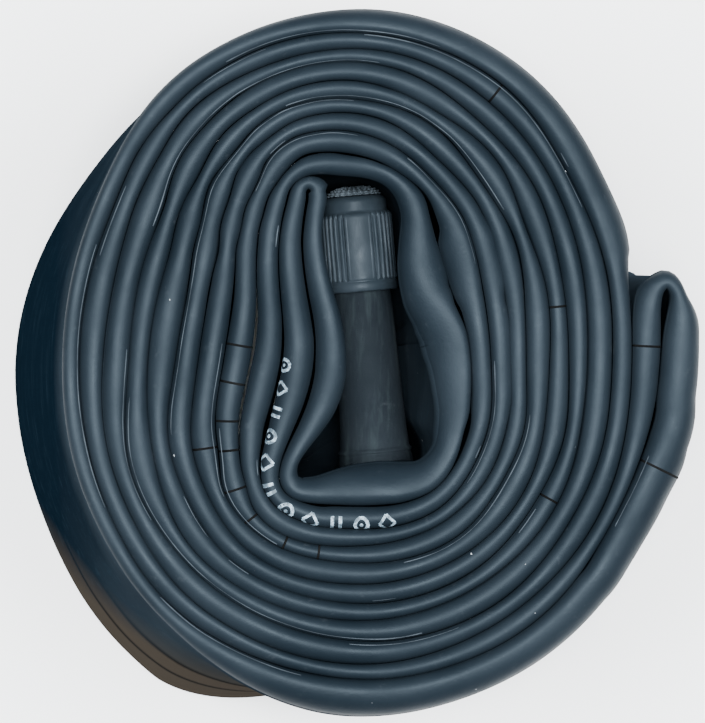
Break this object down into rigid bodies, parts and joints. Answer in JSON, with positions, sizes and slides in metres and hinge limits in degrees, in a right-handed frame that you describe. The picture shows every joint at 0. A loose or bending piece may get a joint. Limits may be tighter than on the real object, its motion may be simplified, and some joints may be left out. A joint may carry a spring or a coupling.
{
  "type": "bicycle inner tube",
  "caption": "Rolled-up rubber bicycle inner tube, let down, folded flat and wound round its rubber-covered car type valve with a ribbed plastic dust cap.",
  "frame": {"origin": "middle of the roll's outline on the surface it lies on", "axes": "+Z along the roll's axis, up from the surface; +Y the way the valve points, across the roll; +X to the side of the folded end"},
  "size_m": [0.0797, 0.0856, 0.046],
  "materials": {
    "butyl_rubber": "satin",
    "patch_rubber": "satin",
    "stem_rubber": "matte",
    "brass": "satin",
    "gasket_rubber": "matte",
    "seal_rubber": "matte",
    "spring_steel": "satin",
    "cap_plastic": "satin"
  },
  "bodies": {
    "roll": {"tube": "butyl_rubber", "valve_base_patch": "patch_rubber", "valve_stem_jacket": "stem_rubber", "valve_barrel": "brass", "core_plug": "brass", "core_gasket": "gasket_rubber", "core_shell": "brass", "core_spring": "spring_steel", "core_foot": "brass"},
    "pin": {"core_pin": "brass", "core_cup": "brass", "core_washer": "seal_rubber"},
    "seal": {"cap_seal": "seal_rubber"},
    "cap": {"valve_cap": "cap_plastic"}
  },
  "joints": [
    {"name": "pin_press", "type": "slide", "parent": "roll", "child": "pin", "axis": [0.0845, -0.9964, 0], "range_m": [0, 0.0012], "stiffness_N_per_m": 1500, "springref_m": -0.002, "deforming": ["core_spring"]},
    {"name": "cap_lift", "type": "slide", "parent": "roll", "child": "seal", "axis": [-0.0845, 0.9964, 0], "range_m": [0, 0.000595]},
    {"name": "cap_turn", "type": "hinge", "parent": "seal", "child": "cap", "pos_m": [0.0008, -0.00362, 0.023], "axis": [-0.0845, 0.9964, 0], "range_deg": [0, 270]}
  ],
  "couplings": [
    {"joint": "cap_turn", "follows": "cap_lift", "rad_per_m": 7915.8}
  ]
}
